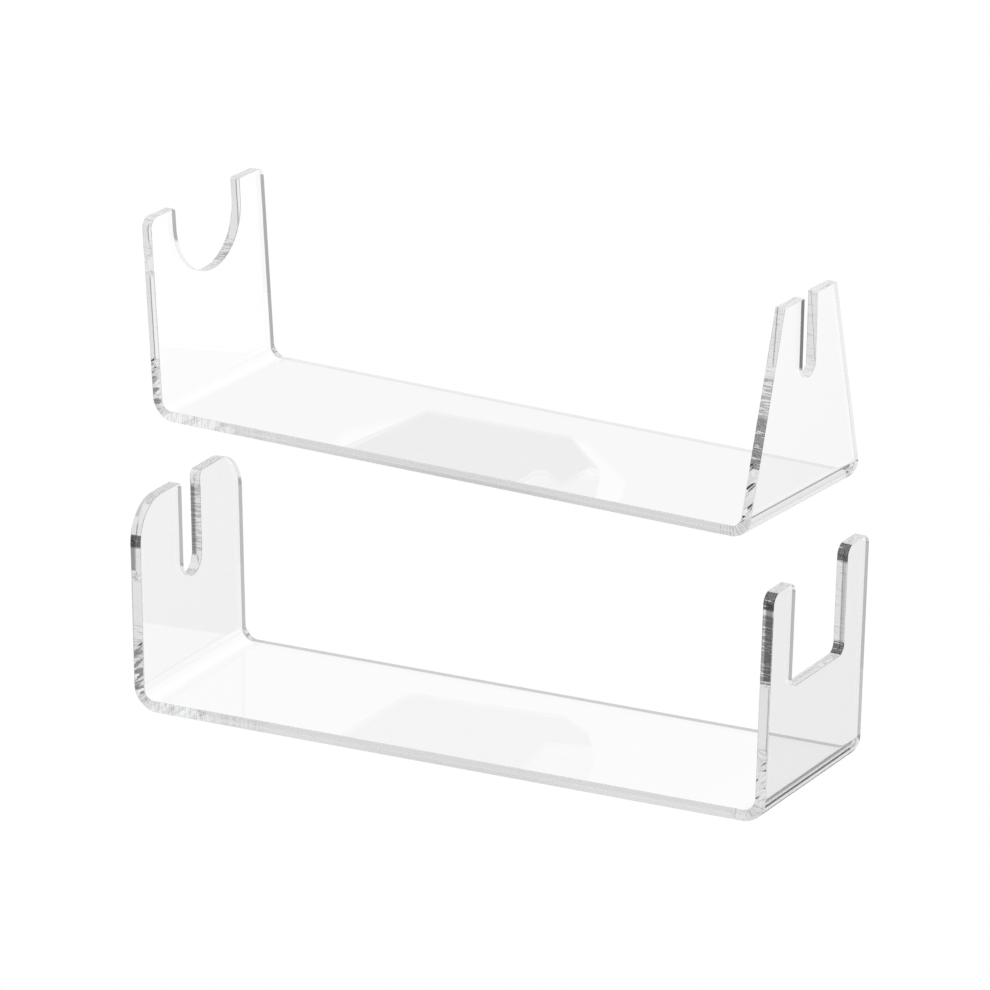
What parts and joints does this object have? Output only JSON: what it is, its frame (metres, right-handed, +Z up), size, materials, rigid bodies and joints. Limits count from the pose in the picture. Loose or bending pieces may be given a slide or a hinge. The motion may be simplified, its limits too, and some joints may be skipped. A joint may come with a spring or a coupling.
{
  "type": "clear acrylic display cradles",
  "caption": "Pair of clear acrylic display cradles, each one strip of sheet bent up at both ends, with a notch in each upright to rest a long object in.",
  "frame": {"origin": "on the shelf, at the centre of the pair's box", "axes": "+X along the front cradle, towards its forked upright; +Y from the front cradle to the rear one, which is turned by -4.1 degrees; +Z up"},
  "size_m": [0.2946, 0.2578, 0.0611],
  "materials": {
    "clear_acrylic": "clear acrylic sheet, polished faces and finely striated laser-cut edges"
  },
  "bodies": {
    "front_cradle": {"front_forked_cradle": "clear_acrylic"},
    "rear_cradle": {"rear_tapered_cradle": "clear_acrylic"}
  },
  "joints": [
    {"name": "rear_cradle_lift", "type": "slide", "parent": "front_cradle", "child": "rear_cradle", "axis": [0, 0, 1], "range_m": [0, 0.08]}
  ]
}
